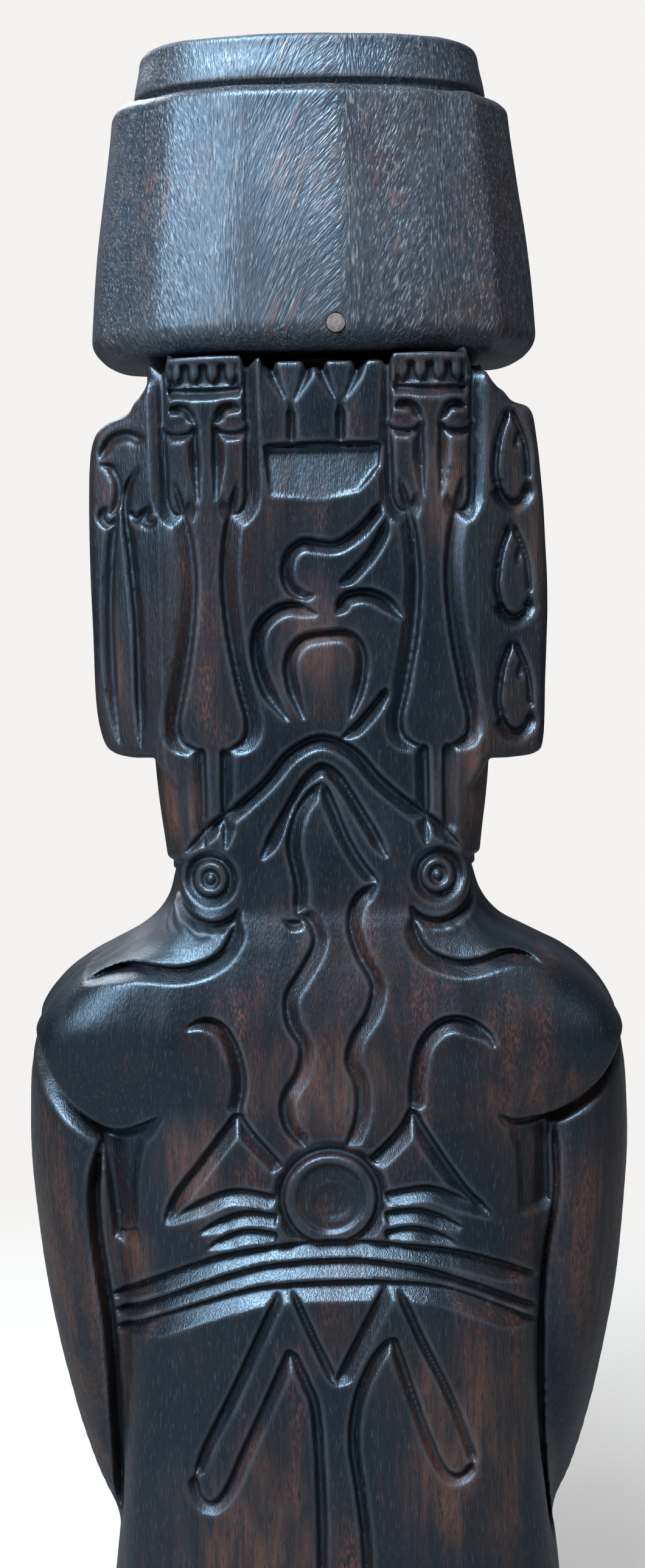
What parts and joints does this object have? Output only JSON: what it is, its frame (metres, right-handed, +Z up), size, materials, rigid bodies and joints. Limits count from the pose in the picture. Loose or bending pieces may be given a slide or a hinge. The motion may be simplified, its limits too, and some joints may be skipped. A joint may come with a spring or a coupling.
{
  "type": "carved tiki figure",
  "caption": "Standing carved wooden ancestor figure with long ears, arms at its sides, line carving on the back and a separate oval topknot pegged to the crown.",
  "frame": {"origin": "centre of the overall box at the flat base", "axes": "+Z up through the topknot, -Y the way the face looks, +Y the carved back, +X the figure's own left hand"},
  "size_m": [0.112, 0.068, 0.3108],
  "materials": {
    "stained_wood": "dark brown-black stain, hand rubbed to a low sheen, fine open grain",
    "topknot_wood": "dark stain, low sheen, slanting knife-cut grain",
    "raw_wood": "bare turned wood with glue",
    "worn_peg_wood": "end grain, stain rubbed thin"
  },
  "bodies": {
    "root": {"figure_body": "stained_wood", "topknot": "topknot_wood", "crown_dowel": "raw_wood", "locking_peg": "worn_peg_wood"}
  },
  "joints": []
}
